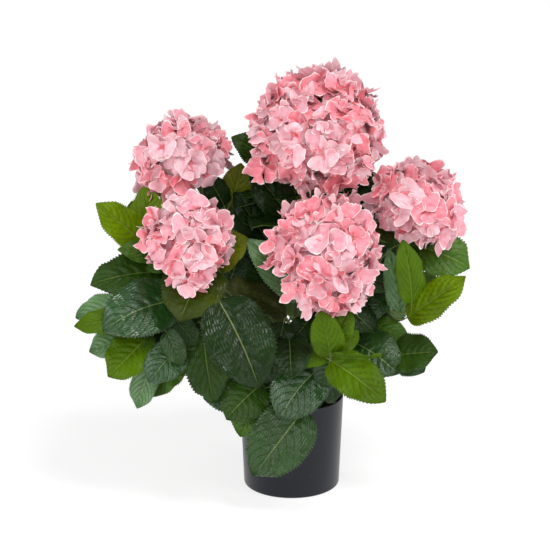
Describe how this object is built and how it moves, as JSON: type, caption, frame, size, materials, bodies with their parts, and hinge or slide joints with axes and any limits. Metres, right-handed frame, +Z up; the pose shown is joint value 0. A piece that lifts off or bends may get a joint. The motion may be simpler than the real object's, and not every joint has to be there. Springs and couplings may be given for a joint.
{
  "type": "artificial potted hydrangea shrub",
  "caption": "Artificial mophead hydrangea in a plain round pot: pink flower heads above broad ribbed leaves, on wired stems from one short foot.",
  "frame": {"origin": "centre of the pot's flat underside", "axes": "+Z up, -Y towards the front, +X to the right as seen from the front"},
  "size_m": [0.5824, 0.4723, 0.6625],
  "materials": {
    "pot": "satin, charcoal black",
    "filling": "rough, dark brown ballast that looks like soil",
    "stem": "matt, brown-green ribbed wrap over wire",
    "leaf": "coated cloth, satin, ribbed",
    "petal": "soft woven cloth, matt"
  },
  "bodies": {
    "root": {"pot": "pot", "potting_fill": "filling", "stem_foot": "stem", "bough_flower_top": "stem", "bloom_top": "petal", "bough_flower_left_back": "stem", "bloom_left_back": "petal", "bough_flower_left_front": "stem", "bloom_left_front": "petal", "bough_flower_centre": "stem", "bloom_centre": "petal", "bough_flower_right": "stem", "bloom_right": "petal", "bough_leafy_front": "stem", "bough_leafy_front_low": "stem", "bough_leafy_front_left": "stem", "bough_leafy_front_left_low": "stem", "bough_leafy_middle": "stem", "bough_leafy_right": "stem", "bough_leafy_right_low": "stem", "bough_leafy_left": "stem", "bough_leafy_left_high": "stem", "bough_leafy_left_low": "stem", "bough_leafy_left_edge": "stem", "bough_leafy_back_right": "stem", "bough_leafy_back_left": "stem", "bough_leafy_back_high": "stem", "bough_leafy_back_low": "stem", "bough_leafy_right_back": "stem", "leaves_flower_top": "leaf", "leaves_flower_left_back": "leaf", "leaves_flower_left_front": "leaf", "leaves_flower_centre": "leaf", "leaves_flower_right": "leaf", "leaves_leafy_front": "leaf", "leaves_leafy_front_low": "leaf", "leaves_leafy_front_left": "leaf", "leaves_leafy_front_left_low": "leaf", "leaves_leafy_middle": "leaf", "leaves_leafy_right": "leaf", "leaves_leafy_right_low": "leaf", "leaves_leafy_left": "leaf", "leaves_leafy_left_high": "leaf", "leaves_leafy_left_low": "leaf", "leaves_leafy_left_edge": "leaf", "leaves_leafy_back_right": "leaf", "leaves_leafy_back_left": "leaf", "leaves_leafy_back_high": "leaf", "leaves_leafy_back_low": "leaf", "leaves_leafy_right_back": "leaf"}
  },
  "joints": []
}
